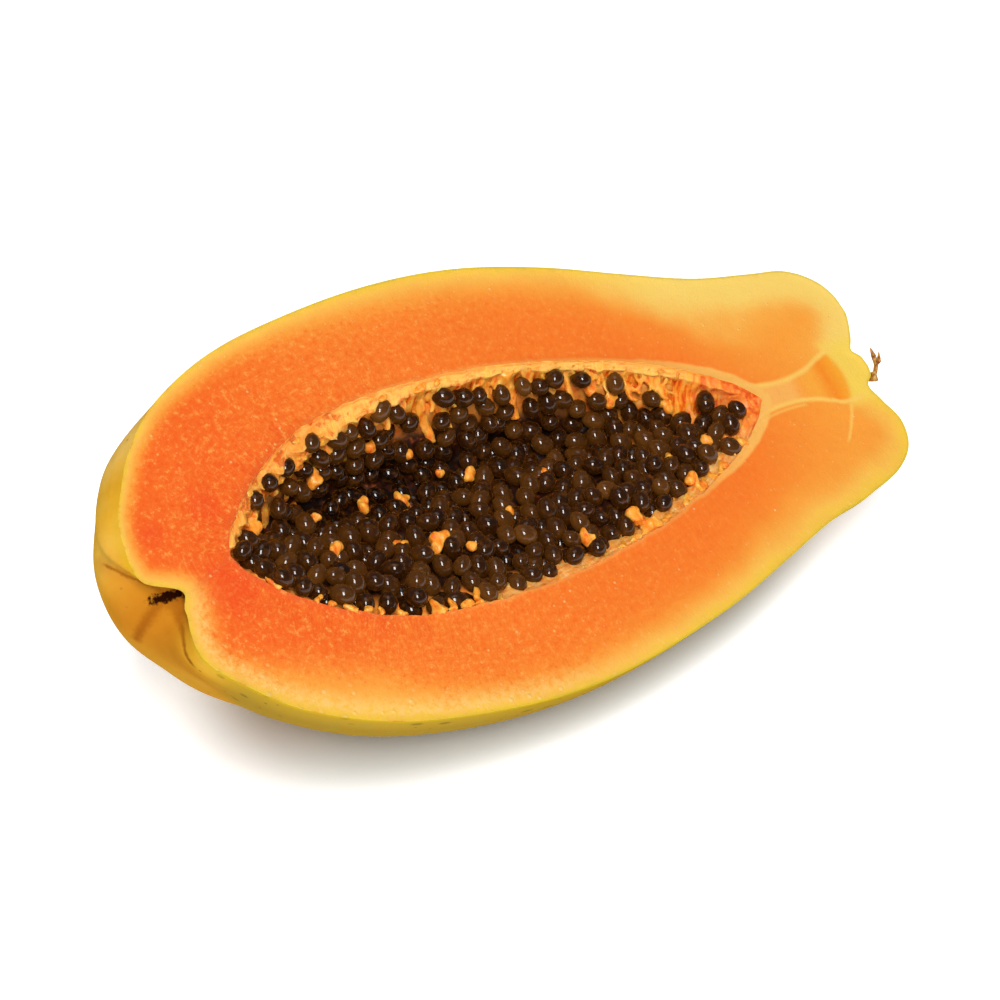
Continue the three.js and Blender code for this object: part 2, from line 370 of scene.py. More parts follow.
def pick(*objects):
    """Selects these objects alone, with the first as the active one."""
    bpy.ops.object.select_all(action="DESELECT")
    for one in objects:
        one.select_set(True)
    bpy.context.view_layer.objects.active = objects[0]


def sew():
    """Merges the seams of the mesh at hand and turns its faces outward."""
    bpy.ops.object.mode_set(mode="EDIT")
    bpy.ops.mesh.select_all(action="SELECT")
    bpy.ops.mesh.remove_doubles(threshold=MERGE_GAP)
    bpy.ops.mesh.normals_make_consistent(inside=False)
    bpy.ops.object.mode_set(mode="OBJECT")


def distance_to(loop, points):
    """Distance of each point to the nearest corner of an outline, and that corner's place along it."""
    steps = np.linalg.norm(np.roll(loop, -1, 0) - loop, axis=1)
    length = np.concatenate([[0], np.cumsum(steps)[:-1]])
    near, where = np.zeros(len(points)), np.zeros(len(points))
    for start in range(0, len(points), 2000):
        gap = np.linalg.norm(points[start:start + 2000, None] - loop[None], axis=2)
        best = gap.argmin(1)
        near[start:start + 2000] = gap[np.arange(len(best)), best]
        where[start:start + 2000] = length[best]
    return near, where


def finely(loop, step):
    """The outline with extra corners, so that none are further apart than step."""
    ends = np.roll(loop, -1, 0)
    parts = []
    for a, b in zip(loop, ends):
        n = max(1, int(np.ceil(np.linalg.norm(b - a) / step)))
        parts.append(a + (b - a) * (np.arange(n) / n)[:, None])
    return np.concatenate(parts)


def within(loop, points):
    """True for the points inside a closed outline."""
    inside = np.zeros(len(points), bool)
    for a, b in zip(loop, np.roll(loop, -1, 0)):
        crosses = (a[1] > points[:, 1]) != (b[1] > points[:, 1])
        if crosses.any():
            x = a[0] + (points[:, 1] - a[1]) * (b[0] - a[0]) / (b[1] - a[1] + 1e-12)
            inside ^= crosses & (points[:, 0] < x)
    return inside


rind, rind_places = rolled_sheet("rind", RINGS, RIND_SIDES, rind_point)
lining, lining_places = rolled_sheet("cavity_lining", RINGS, LINING_SIDES, cavity_lining)

# The cut face fills the plane between the outline of the rind and the rim of the cavity.
ring_steps = crowded(np.arange(RINGS + 1) / RINGS)
raised_side, low_side = np.zeros(RINGS + 1), np.full(RINGS + 1, np.pi)


def edge_loop(point):
    """The closed edge that a rolled sheet has in the plane of the cut."""
    there, back = point(ring_steps, raised_side), point(ring_steps, low_side)
    return np.concatenate([there, back[-2:0:-1]])[:, :2]


outline, rim = edge_loop(rind_point), edge_loop(cavity_lining)
columns, rows = np.meshgrid(
    np.arange(-FACE_REACH[0], FACE_REACH[0], FACE_PITCH),
    np.arange(-FACE_REACH[1], FACE_REACH[1], FACE_PITCH * 0.866),
)
columns = columns + FACE_PITCH / 2 * (np.arange(len(rows))[:, None] % 2)
spots = np.stack([columns.ravel(), rows.ravel()], 1)
fine_outline, fine_rim = finely(outline, EDGE_STEP), finely(rim, EDGE_STEP)
spots = spots[within(outline, spots) & ~within(rim, spots)]
for edge, gap in zip((fine_outline, fine_rim), FACE_GAPS):
    spots = spots[distance_to(edge, spots)[0] > gap]
corners = np.concatenate([outline, rim, spots])
edges = [(i, (i + 1) % len(outline)) for i in range(len(outline))]
edges += [(len(outline) + i, len(outline) + (i + 1) % len(rim)) for i in range(len(rim))]
filled = geometry.delaunay_2d_cdt([Vector(p) for p in corners], edges, [], 0, 1e-6)
face_points = np.array([tuple(v) for v in filled[0]])
triangles = np.array(filled[2])
middles = face_points[triangles].mean(1)
triangles = triangles[within(outline, middles) & ~within(rim, middles)]
from_rind, _ = distance_to(fine_outline, face_points)
from_cavity, around = distance_to(fine_rim, face_points)
flat_points = np.c_[face_points, np.zeros(len(face_points))]
level = 0.25 * wave(flat_points, 18.0, 5)
level += 0.10 * wave(flat_points, 5.0, 6) - 0.2
level *= smooth(from_rind, 0, 2.5) * smooth(from_cavity, 0, 2.0)
face_places = np.c_[face_points, level]
face_mesh = bpy.data.meshes.new("cut_face")
face_mesh.from_pydata(face_places.tolist(), [], triangles.tolist())
cut_face = add_object("cut_face", face_mesh)

for part, places in ((rind, rind_places), (lining, lining_places), (cut_face, face_places)):
    part.data.vertices.foreach_set("co", placed(places).ravel())
    note(part.data, "fruit_cm", places / 10)
    if part is cut_face:
        note(part.data, "from_rind", from_rind)
        note(part.data, "grain", np.stack([around, from_cavity, 0 * around], 1))
    else:
        note(part.data, "from_rind", np.full(len(places), 20.0 if part is lining else 0.0))
        note(part.data, "grain", places[:, [0, 2, 2]] * (1, 1, 0))


# The lamps are brighter than a screen's white, so every colour gives back a little less.
LIT_SHARE = 0.74


def shade(red, green, blue):
    """The colour of a surface that shows on a screen, well lit, as these values from 0 to 255."""
    parts = [c / 255 for c in (red, green, blue)]
    linear = [p / 12.92 if p <= 0.04045 else ((p + 0.055) / 1.055) ** 2.4 for p in parts]
    return (*[LIT_SHARE * p for p in linear], 1.0)


def blended(share, a, b, kind="MIX"):
    """Colour a turned into colour b by a share."""
    values = {0: share, 6: a, 7: b}
    return Signal(node(share.tree, "ShaderNodeMix", values, data_type="RGBA", blend_type=kind), 2)


def glazed(colour, share, tint, strength=None):
    """Lays a tint over a colour by a share, all of it or as much as strength."""
    tint = shade(*tint) if isinstance(tint, tuple) else tint
    return blended(share * strength if strength else share, colour, tint)


def ramp(share, stops):
    """Colours along a share from 0 to 1. Each stop is a place and a screen colour."""
    made = node(share.tree, "ShaderNodeValToRGB", {"Fac": share})
    while len(made.color_ramp.elements) < len(stops):
        made.color_ramp.elements.new(0.5)
    for element, (place, colour) in zip(made.color_ramp.elements, stops):
        element.position = place
        element.color = shade(*colour)
    return Signal(made, "Color")


def mottle(vector, size_per, detail=3.0, roughness=0.5):
    """Noise from 0 to 1."""
    values = {"Vector": vector, "Scale": size_per, "Detail": detail, "Roughness": roughness}
    return Signal(node(vector.tree, "ShaderNodeTexNoise", values), "Fac")


def measure(tree, name, output="Fac"):
    """What note kept at each corner of the mesh."""
    return Signal(node(tree, "ShaderNodeAttribute", attribute_name=name), output)


def stretched(vector, scale):
    made = node(vector.tree, "ShaderNodeVectorMath", {0: vector, 1: scale}, operation="MULTIPLY")
    return Signal(made)


def distance_from(vector, centre):
    made = node(vector.tree, "ShaderNodeVectorMath", {0: vector, 1: centre}, operation="DISTANCE")
    return Signal(made, "Value")


def split(vector):
    made = node(vector.tree, "ShaderNodeSeparateXYZ", {0: vector})
    return [Signal(made, axis) for axis in "XYZ"]


def highest(first, *others):
    for other in others:
        first = first.maths("MAXIMUM", other)
    return first


def bumps(strength, distance, height):
    values = {"Strength": strength, "Distance": distance, "Height": height}
    return Signal(node(height.tree, "ShaderNodeBump", values), "Normal")


def along_curve(run, points):
    """Reads a smooth curve through (place, value) points at the place that run gives."""
    first, last = points[0][0], points[-1][0]
    low = min(p[1] for p in points)
    span = max(p[1] for p in points) - low
    way = node(run.tree, "ShaderNodeMapRange", {"Value": run, "From Min": first, "From Max": last})
    pen = node(run.tree, "ShaderNodeFloatCurve", {"Value": Signal(way)})
    line = pen.mapping.curves[0]
    while len(line.points) < len(points):
        line.points.new(0.5, 0.5)
    for knot, (at, value) in zip(line.points, points):
        knot.location = ((at - first) / (last - first), (value - low) / span)
    pen.mapping.update()
    return Signal(pen) * span + low


def mask_group(name, inputs, drawn):
    """A shader node group that puts out one mask, drawn from its named inputs."""
    group = bpy.data.node_groups.new(name, "ShaderNodeTree")
    for key, kind in inputs.items():
        group.interface.new_socket(name=key, in_out="INPUT", socket_type="NodeSocket" + kind)
    group.interface.new_socket(name="Mask", in_out="OUTPUT", socket_type="NodeSocketFloat")
    enter, leave = group.nodes.new("NodeGroupInput"), group.nodes.new("NodeGroupOutput")
    feed(leave.inputs["Mask"], drawn(*[Signal(enter, key) for key in inputs]))
    return group


def line_mask(run, gap, width, start, end):
    """1 on the line, easing to 0 at its width and over a quarter centimetre at each end."""
    ends = between(run, start, start + 0.25) * between(run, end, end - 0.25)
    return between(abs(gap), width, 0.0) * ends


def fleck_mask(place, per_cm, share, size):
    """1 inside small scattered flecks, a share of all that would fit."""
    cell = node(place.tree, "ShaderNodeTexVoronoi", {"Vector": place, "Scale": per_cm})
    chance = Signal(node(place.tree, "ShaderNodeSeparateColor", {0: Signal(cell, "Color")}))
    return between(chance + share, 1.0, 1.02) * between(Signal(cell, "Distance"), size, size * 0.4)


line_inputs = dict.fromkeys(("Run", "Gap", "Width", "Start", "End"), "Float")
fleck_inputs = {"Place": "Vector", "Per cm": "Float", "Share": "Float", "Size": "Float"}
soft_line = mask_group("soft_line", line_inputs, line_mask)
scattered_flecks = mask_group("scattered_flecks", fleck_inputs, fleck_mask)


def traced(run, offset, points, width):
    """A soft line drawn through given points: run goes along it, offset lies beside the run.
    Centimetres.
    """
    gap = offset - along_curve(run, points)
    values = {"Run": run, "Gap": gap, "Width": width, "Start": points[0][0], "End": points[-1][0]}
    return Signal(node(run.tree, "ShaderNodeGroup", values, node_tree=soft_line), "Mask"), gap


def flecks(place, per_cm, share, size):
    values = {"Place": place, "Per cm": per_cm, "Share": share, "Size": size}
    return Signal(node(place.tree, "ShaderNodeGroup", values, node_tree=scattered_flecks), "Mask")


# Redder spots of the flesh: place in centimetres, size.
BLUSH = [((-10.7, 1.6, 0.0), 0.5), ((-11.2, -0.9, 0.0), 1.0), ((-12.6, 1.2, 0.0), 0.35)]
# How fast the flesh ripens inward, along the raised side and along the low side: place, pace.
RIPE_RAISED = [
    (-13.5, 2.4), (-11.2, 2.2), (-8.7, 1.7), (-6.0, 1.35), (-3.0, 1.0), (0.0, 0.9), (3.0, 0.85),
    (6.0, 0.55), (8.7, 0.36), (11.2, 0.42), (13.0, 0.5),
]
RIPE_LOW = [
    (-13.5, 1.6), (-11.2, 1.0), (-8.7, 0.62), (-6.0, 0.95), (-3.0, 1.1), (0.0, 0.95), (3.0, 0.93),
    (6.0, 0.68), (8.7, 0.62), (13.0, 0.6),
]
# Flesh: pale yellow under the rind, orange inward, deep red-orange round the blossom end of the
# cavity, paler toward the stem, with fine juicy grain that points from the cavity to the rind.
flesh_paint, tree, shader = new_material("papaya_flesh")
place = measure(tree, "fruit_cm", "Vector")
along, across = split(place)[:2]
rind_gap = measure(tree, "from_rind")
grain = measure(tree, "grain", "Vector")
cavity_gap = split(grain)[1]
cloud = mottle(place, 0.8)
fine = mottle(place, 5.0, 5.0, 0.78)
streak = mottle(stretched(grain, (1.0, 0.16, 1.0)), 0.8)
hair = mottle(stretched(grain, (1.0, 0.4, 1.0)), 1.7, 4.0, 0.8)
raised = between(across, -0.8, 1.2)
far_stem = between(along, 3.5, 8.0) * raised
ripe_raised, ripe_low = (along_curve(along, side) for side in (RIPE_RAISED, RIPE_LOW))
depth = rind_gap * Signal(node(tree, "ShaderNodeMix", {0: raised, 2: ripe_low, 3: ripe_raised}))
depth = depth + (cloud - 0.5) * 4.0 + (fine - 0.5) * 3.0
inward = highest(depth.maths("MINIMUM", rind_gap * 3.0), 0.0)
colour = ramp(
    inward / 20.0,
    [
        (0.0, (244, 199, 62)), (0.05, (246, 197, 68)), (0.12, (249, 190, 76)), (0.21, (249, 177, 71)),
        (0.325, (249, 160, 58)), (0.5, (248, 137, 44)), (0.72, (248, 126, 38)), (1.0, (247, 122, 36)),
    ],
)
colour = glazed(colour, far_stem * between(inward, 10.0, 1.5, 0.0, 0.8), (250, 214, 112))
ripe_end = between(along + cloud * 3.0, -3.5, -9.0)
ripe_depth = between(inward, 7.0, 15.0)
colour = glazed(colour, ripe_end * ripe_depth, (244, 103, 28))
near_core = between(cavity_gap, 17.0, 2.0)
blood = between(streak + cloud * 0.4, 0.62, 0.86) * near_core
blood = blood * between(along, -3.0, -8.0, 0.1, 0.6)
colour = glazed(colour, blood, (236, 78, 18))
rim_red = between(cavity_gap, 4.0, 0.3) * between(along, -5.5, -8.0, 0.0, 0.7)
colour = glazed(colour, rim_red, (232, 86, 18))
paler = between(along + cloud, 6.8, 12.0, 0.0, 0.8) * between(rind_gap, 7.0, 16.0)
colour = glazed(colour, paler, (251, 164, 58))

# Veins that run from the tip of the cavity to the stalk, round an orange core.
upper, above = traced(
    along, across,
    [(7.0, 1.07), (8.1, 0.61), (8.9, 0.36), (9.6, 0.31), (10.4, 0.4), (11.3, 0.7), (12.2, 1.0)], 0.16,
)
lower, beneath = traced(
    along, across,
    [
        (7.0, -1.13), (8.1, -0.63), (8.9, -0.47), (9.6, -0.45), (10.4, -0.55), (11.1, -0.78),
        (11.7, -0.94), (12.4, -0.85),
    ], 0.14,
)
branch, _ = traced(across, along, [(-2.3, 10.7), (-1.6, 11.3), (-1.0, 11.68), (-0.85, 11.75)], 0.12)
second, _ = traced(along, across, [(7.6, -1.02), (8.6, -0.68), (9.4, -0.62), (10.2, -0.66)], 0.1)
inside = between(above, 0.02, -0.12) * between(beneath, -0.02, 0.1)
wedge = inside * between(along, 8.2, 8.8) * between(along, 10.5, 9.7)
colour = glazed(colour, wedge, (250, 186, 96), 0.75)
from_core = distance_from(place, (10.2, 0.0, 0.0))
core = inside * between(along, 9.9, 10.7) * between(from_core, 1.92, 1.68)
colour = glazed(
    colour, core,
    ramp(along - 10.8, [(0.0, (250, 168, 58)), (0.5, (249, 142, 34)), (1.0, (249, 166, 44))]),
)
stalk_end = between(from_core, 1.65, 1.95) * between(abs(across), 1.35, 0.85)
stalk_end = stalk_end * between(along, 10.8, 11.3)
colour = glazed(colour, stalk_end, (248, 210, 86), 0.9)
pale = highest(upper * 0.9, lower * 0.9, branch * 0.7, second * 0.5)
colour = glazed(colour, pale, (251, 203, 98))

# The pale lip of the cavity, wider round its tip, then grain, and drops of juice: glossier spots whose
# pale colour is a painted glint.
lip = between(cavity_gap - between(along, 4.0, 8.2, 0.0, 2.6), 1.4, 0.2)
lip_share = between(along, -6.0, -3.5, 0.0, 0.32) + between(along, 3.0, 7.8, 0.0, 0.55)
colour = glazed(colour, lip * lip_share, (250, 188, 92))
for speckle, share in (
    (fine, between(along, 9.0, -8.0, 0.16, 0.78)),
    (hair, between(along, 1.0, -6.0, 0.0, 0.5) * between(cavity_gap, 24.0, 12.0, 0.25, 1.0)),
):
    colour = glazed(colour, between(speckle, 0.5, 0.72) * share, (254, 178, 84))
    share = share * between(inward, 2.0, 10.0, 0.12, 1.0)
    colour = glazed(colour, between(speckle, 0.5, 0.28) * share, (240, 84, 18))
for centre, size in BLUSH:
    spot = distance_from(place, centre)
    spot = between(spot + hair * 0.9, size + 0.75, size * 0.4 + 0.35)
    colour = glazed(colour, spot, (240, 72, 26), 0.55)
drops_and_glints = highest(flecks(place, 2.6, 0.16, 0.15), flecks(place, 7.0, 0.12, 0.3) * 0.5)
# On the low side near the rind, more drops and pale patches are painted: a painted wet sheen.
wet = between(rind_gap, 13.0, 6.0) * between(across + along * 0.1, -1.2, -3.0)
wet = wet * between(along, 0.5, -4.0, 0.35, 1.0)
drops_and_glints = highest(drops_and_glints, flecks(place, 3.4, 0.5, 0.3) * wet)
painted_wet_sheen = wet * between(rind_gap, 0.8, 3.0) * between(fine, 0.4, 0.6, 0.05, 0.7)
painted_wet_sheen = painted_wet_sheen * between(rind_gap, 9.0, 3.0) * between(along, 3.0, -7.0, 0.2, 0.8)
colour = glazed(colour, painted_wet_sheen, (253, 210, 128))
# Painted highlight: each drop is whitened as a glint, besides being glossier.
colour = glazed(colour, drops_and_glints, (255, 216, 140), 0.45)
skin = between(rind_gap, 0.9, 0.2) * between(along, -9.0, -3.0, 0.15, 0.7)
colour = glazed(colour, skin, (214, 188, 34))
finish_surface(
    shader, Base_Color=colour, Roughness=between(drops_and_glints, 0.0, 1.0, 0.48, 0.2),
    Normal=bumps(0.5, 0.0004, streak * 0.5 + fine + drops_and_glints * 0.8),
    Subsurface_Weight=0.1, Subsurface_Scale=0.003, Subsurface_Radius=(1.0, 0.4, 0.15),
    Specular_IOR_Level=0.2,
)

# Cavity lining: a pale fibrous ledge under the rim, then torn columns with red-orange gaps, and
# thick peach tissue toward the blossom end. Many of its colours go past 255: painted light that
# makes up for the shade in the cavity. The red-orange of the gaps and tears is partly the
# tissue's own colour and partly painted shade.
lining_paint, tree, shader = new_material("cavity_lining")
place = measure(tree, "fruit_cm", "Vector")
along, across = split(place)[:2]
grain = measure(tree, "grain", "Vector")
down = split(grain)[1]
fibre = mottle(stretched(grain, (1.0, 0.22, 1.0)), 0.8)
thread = mottle(stretched(grain, (0.12, 1.0, 1.0)), 2.2)
pore = mottle(place, 7.0)
torn = mottle(place, 2.6)
crack = between(torn, 0.47, 0.37)
# Stops past 255 are painted light against the cavity's shade; the reddest stop, in the gaps between
# fibres, is partly the tissue's colour and partly painted shade.
colour = ramp(
    fibre,
    [(0.32, (226, 58, 8)), (0.43, (264, 120, 22)), (0.54, (284, 174, 54)), (0.74, (290, 206, 88))],
)
tissue = between(along + pore, -3.2, -5.2)
colour = glazed(colour, tissue * between(pore, 0.34, 0.52, 0.2, 0.9), (286, 196, 76))
tip = between(along, 6.6, 7.6)
colour = glazed(
    colour, tip * between(pore, 0.4, 0.55, 0.35, 1.0),
    ramp(torn, [(0.36, (246, 112, 44)), (0.5, (262, 142, 62)), (0.64, (266, 168, 84))]),
)
ledge = between(down + (fibre - 0.5) * 5.0, -4.4, -2.4)
ledge = ledge * between(along, 7.4, 6.2)
colour = glazed(colour, ledge * between(thread, 0.3, 0.6, 0.35, 1.0), (288, 206, 100))
redder = between(along + pore, -3.6, -6.6) * between(thread, 0.7, 0.35, 0.3, 0.85)
colour = glazed(colour, redder, (256, 134, 40), 0.8)
# Tears darkened red-orange: partly the tissue's colour, partly painted shade in them.
crack = crack * between(along + pore, -2.6, -4.2)
colour = glazed(colour, crack, (232, 84, 16), 0.7)
near = between(across, -0.4, -1.2) * between(along, -5.0, -2.0)
colour = glazed(
    colour, near,
    ramp(thread, [(0.34, (246, 124, 40)), (0.5, (256, 166, 78)), (0.66, (264, 196, 122))]), 0.85,
)
finish_surface(
    shader, Base_Color=colour, Roughness=between(pore, 0.3, 0.7, 0.5, 0.3),
    Normal=bumps(0.6, 0.0008, fibre + pore * 0.5 + thread * 0.5 - crack),
    Subsurface_Weight=0.7, Subsurface_Scale=0.006, Subsurface_Radius=(1.0, 0.55, 0.25),
    Specular_IOR_Level=0.15,
)

# Rind: thin waxy skin, golden with an olive tinge along the low side, small corky specks, dark
# folds round the blossom scar, partly the rind's own brown and partly painted shade, and a
# yellow-green line where the knife went through. Painted shade also darkens the underside and
# the lower front, and painted light brightens the upper lobe at the blossom end.
rind_paint, tree, shader = new_material("papaya_rind")
place = measure(tree, "fruit_cm", "Vector")
along, across, up = split(place)
cloud = mottle(place, 0.45, 4.0, 0.55)
fine = mottle(place, 9.0)
colour = ramp(cloud, [(0.3, (220, 160, 40)), (0.5, (232, 172, 48)), (0.7, (238, 188, 74))])
olive = between(across + cloud * 2.0, 0.5, -3.5) * between(along, -10.5, -5.0)
colour = glazed(colour, olive, (166, 138, 34), 0.75)
# Painted shade: the rind is darker and browner below the level of the cut on the low side.
under = between(up + cloud * 1.2, 0.2, -1.8) * between(across, 0.5, -1.0)
colour = glazed(colour, under, (190, 128, 42), 0.6)
# Painted shade: the low side below the cut edge is darkened further.
shaded = between(across, -2.4, -4.2) * between(up, -0.1, -1.2)
low_band = between(across, -2.8, -3.9) * between(along, -3.0, -6.0)
colour = glazed(colour, low_band, (191, 153, 48), 0.9)
colour = glazed(colour, shaded, (171, 135, 46), 0.95)
# Painted light: the raised side of the blossom end is lightened where it faces the lamps.
upper_lobe_light = between(across + cloud, 3.2, 5.0) * between(along, -8.5, -11.0)
colour = glazed(colour, upper_lobe_light, (268, 220, 122), 0.6)
green = between(mottle(place, 2.2), 0.56, 0.68) * between(along, -11.5, -9.0, 0.1, 0.35)
colour = glazed(colour, green, (164, 152, 62))
cell = node(tree, "ShaderNodeTexVoronoi", {"Vector": place, "Scale": 2.3})
dot = between(Signal(cell, "Distance"), 0.16, 0.06)
few = between(Signal(node(tree, "ShaderNodeSeparateColor", {0: Signal(cell, "Color")})), 0.5, 0.58)
colour = glazed(colour, dot * few, (120, 84, 34), 0.6)
dash = flecks(stretched(place, (0.5, 1.0, 1.0)), 2.1, 0.5, 0.3) * between(across, -2.6, -3.6)
colour = glazed(colour, dash, (112, 98, 40), 0.6)
front = between(along, -8.0, -10.5)
wander = (fine - 0.5) * 0.12
fold = [(-0.5, -0.9), (-0.14, -0.86), (0.21, -0.75), (0.42, -0.8), (0.74, -0.95), (1.6, -1.4)]
fold_shade, _ = traced(across, up, fold, 0.32)
scar_crease, _ = traced(
    across, up + wander,
    [
        (-0.4, -0.74), (-0.18, -0.66), (0.0, -0.57), (0.21, -0.59), (0.44, -0.71), (0.76, -0.84),
        (1.04, -1.01), (1.3, -1.2),
    ], 0.09,
)
low_crease, _ = traced(
    up, across + wander,
    [
        (-2.3, -0.82), (-1.95, -0.79), (-1.6, -0.74), (-1.19, -0.65), (-0.91, -0.5), (-0.7, -0.33),
        (-0.45, -0.15),
    ], 0.18,
)
side_crease, _ = traced(
    across, up + wander,
    [
        (-2.6, -0.82), (-2.36, -0.78), (-2.02, -0.68), (-1.77, -0.6), (-1.3, -0.72),
        (-0.84, -0.82), (-0.3, -0.72),
    ], 0.17,
)
# The creases are drawn dark brown: partly the rind's own brown, partly painted shade in the grooves.
crease = highest(scar_crease, low_crease, side_crease) * front
# Painted shade: a soft brown band beside the scar's crease.
colour = glazed(colour, fold_shade * front, (186, 124, 44), 0.4)
colour = glazed(colour, crease, (112, 50, 14), 0.8)
from_hole = distance_from(stretched(place, (0.0, 1.0, 1.0)), (0.0, -0.37, -0.76))
from_hole = from_hole + (fine - 0.5) * 0.3
warm = between(from_hole, 2.6, 0.5) * front
colour = glazed(colour, warm, (206, 126, 26), 0.6)
# Painted shade: the lower front of the blossom end is darkened by a multiply.
belly_shade = between(up, -0.6, -1.2) * between(up, -2.6, -1.6)
belly_shade = belly_shade * between(across, 0.8, -0.4) * front * between(across, -3.9, -2.6)
colour = blended(belly_shade, colour, (0.84, 0.74, 0.74, 1.0), "MULTIPLY")
scar = between(from_hole, 0.19, 0.09) * front
colour = glazed(colour, scar, (44, 16, 5))
edge_line = between(up, -0.22, -0.02) * between(across, 2.0, -0.5, 0.15, 0.7)
colour = glazed(colour, edge_line, (214, 178, 30))
finish_surface(
    shader, Base_Color=colour, Roughness=between(cloud, 0.3, 0.7, 0.5, 0.4),
    Normal=bumps(0.2, 0.0004, fine * 0.3 - highest(dot * few, crease * 2.0)),
    Subsurface_Weight=0.05, Subsurface_Scale=0.002, Subsurface_Radius=(1.0, 0.6, 0.2),
    Specular_IOR_Level=0.0,
)

rind.data.materials.append(rind_paint)
lining.data.materials.append(lining_paint)
cut_face.data.materials.append(flesh_paint)
pick(rind, lining, cut_face)
bpy.ops.object.join()
papaya = rind
papaya.name = papaya.data.name = "papaya_half"
sew()
bpy.ops.object.shade_smooth_by_angle(angle=SHARP_EDGE)
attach(papaya, "root")
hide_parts("fruit_half")

# ---- Seed bed ----
# The soft tissue that the seeds grow on. It fills the bottom of the cavity under them. It is orange
# near the wall and toward the stem, and near-black to dark brown elsewhere: painted shade in the gaps
# between the seeds.
HEAP_DEPTH = [
    (-1, 0.05), (-0.55, 0.12), (-0.1, 0.33), (0.3, 0.57), (0.52, 0.59), (0.72, 0.38),
    (0.88, 0.17), (1, 0.1),
]
# The bed stays clear of the cavity wall by a gap, and its top lies lower than the heap's.
BED_GAP = 0.5
BED_DROP = 1.6
BED_START, BED_LENGTH = -105.5, 190
BED_RINGS, BED_SIDES = 130, 100
cavity_steps = spline(CAVITY, np.arange(241) / 240)


def cavity_half(x):
    return np.interp(x, cavity_steps[:, 0], np.maximum(cavity_steps[:, 1], 0), 0, 0)


def stepped(table, x):
    """Reads a table of (place, value), easing from each row to the next."""
    places, values = np.array(table, float).T
    i = np.clip(np.searchsorted(places, x), 1, len(places) - 1)
    share = smooth((x - places[i - 1]) / (places[i] - places[i - 1]), 0, 1)
    return values[i - 1] + (values[i] - values[i - 1]) * share


def heap_top(x, y):
    """Top of the heap: near the low rim, falling to a trough, then up the raised wall."""
    half = np.maximum(cavity_half(x), 1)
    share = np.clip((y - CAVITY_SHIFT) / half, -1, 1)
    bumps = 0.5 * np.sin(x * 0.33 + 1.3) + 0.4 * np.sin(y * 0.41 + x * 0.13)
    return -1.8 - half * stepped(HEAP_DEPTH, share) + bumps


def heap_at(x, y):
    return float(heap_top(np.array([x]), np.array([y]))[0])


def bed_point(t, turn):
    """The bed's skin: along the cavity wall under the heap, then back over the heap's lowered top."""
    x = BED_START + BED_LENGTH * t
    half = np.maximum(cavity_half(x) - BED_GAP, 0)
    angles = np.radians(np.arange(0, 181, 1.0))
    y = half[:, None] * np.cos(angles) + CAVITY_SHIFT
    wall = -CAVITY_DEPTH * half[:, None] * np.sin(angles)
    top = heap_top(np.broadcast_to(x[:, None], y.shape), y) - BED_DROP
    under = (wall < top) & (half[:, None] > 2.5)
    first = np.where(under.any(1), under.argmax(1), 90)
    last = np.where(under.any(1), 180 - under[:, ::-1].argmax(1), 90)
    down = turn < 0.5
    share = np.where(down, turn * 2, turn * 2 - 1)
    angle = np.radians(first + (last - first) * share)
    low_y, high_y = half * np.cos(np.radians(last)), half * np.cos(np.radians(first))
    y = np.where(down, half * np.cos(angle), low_y + (high_y - low_y) * share) + CAVITY_SHIFT
    lid = heap_top(x, y) - BED_DROP
    edge = np.minimum(share, 1 - share) * 4
    lid = lid + 0.8 * np.sin(x * 1.1 + 2 * np.sin(y * 0.6)) * np.sin(y * 1.3) * np.clip(edge, 0, 1)
    floor_z = -CAVITY_DEPTH * half * np.sin(angle)
    side = -CAVITY_DEPTH * np.sqrt(np.maximum(half**2 - (y - CAVITY_SHIFT) ** 2, 0))
    lid = side + np.maximum(lid - side, 0) * np.clip(edge * 12, 0, 1)
    return np.stack([x, y, np.where(down, floor_z, np.where(under.any(1), lid, floor_z))], 1)


bed, *steps = unit_grid("seed_bed", BED_RINGS, BED_SIDES)
bed_places = bed_point(*steps)
bed.data.vertices.foreach_set("co", placed(bed_places).ravel())
note(bed.data, "fruit_cm", bed_places / 10)
from_wall = cavity_half(bed_places[:, 0]) - np.abs(bed_places[:, 1] - CAVITY_SHIFT)
note(bed.data, "from_wall", from_wall)
sew()
bpy.ops.object.shade_smooth()
bed_paint, tree, shader = new_material("seed_bed_tissue")
place = measure(tree, "fruit_cm", "Vector")
pulp = mottle(place, 3.2)
edge = between(measure(tree, "from_wall") + pulp * 6.0, 14.0, 8.0)
edge = highest(edge, between(split(place)[0], 3.6, 5.6))
# Painted shade: away from the wall the bed is near-black to dark brown, so the gaps between seeds read
# as deep shade.
colour = ramp(pulp, [(0.45, (24, 8, 2)), (0.62, (60, 22, 6)), (0.78, (190, 90, 26))])
colour = glazed(
    colour, edge, ramp(pulp, [(0.3, (222, 96, 24)), (0.5, (248, 148, 56)), (0.7, (250, 176, 84))]),
)
finish_surface(
    shader, Base_Color=colour, Roughness=between(pulp, 0.3, 0.7, 0.4, 0.55),
    Normal=bumps(0.5, 0.001, pulp),
    Specular_IOR_Level=0.15,
)
bed.data.materials.append(bed_paint)
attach(bed, "root")
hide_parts("seed_heap")

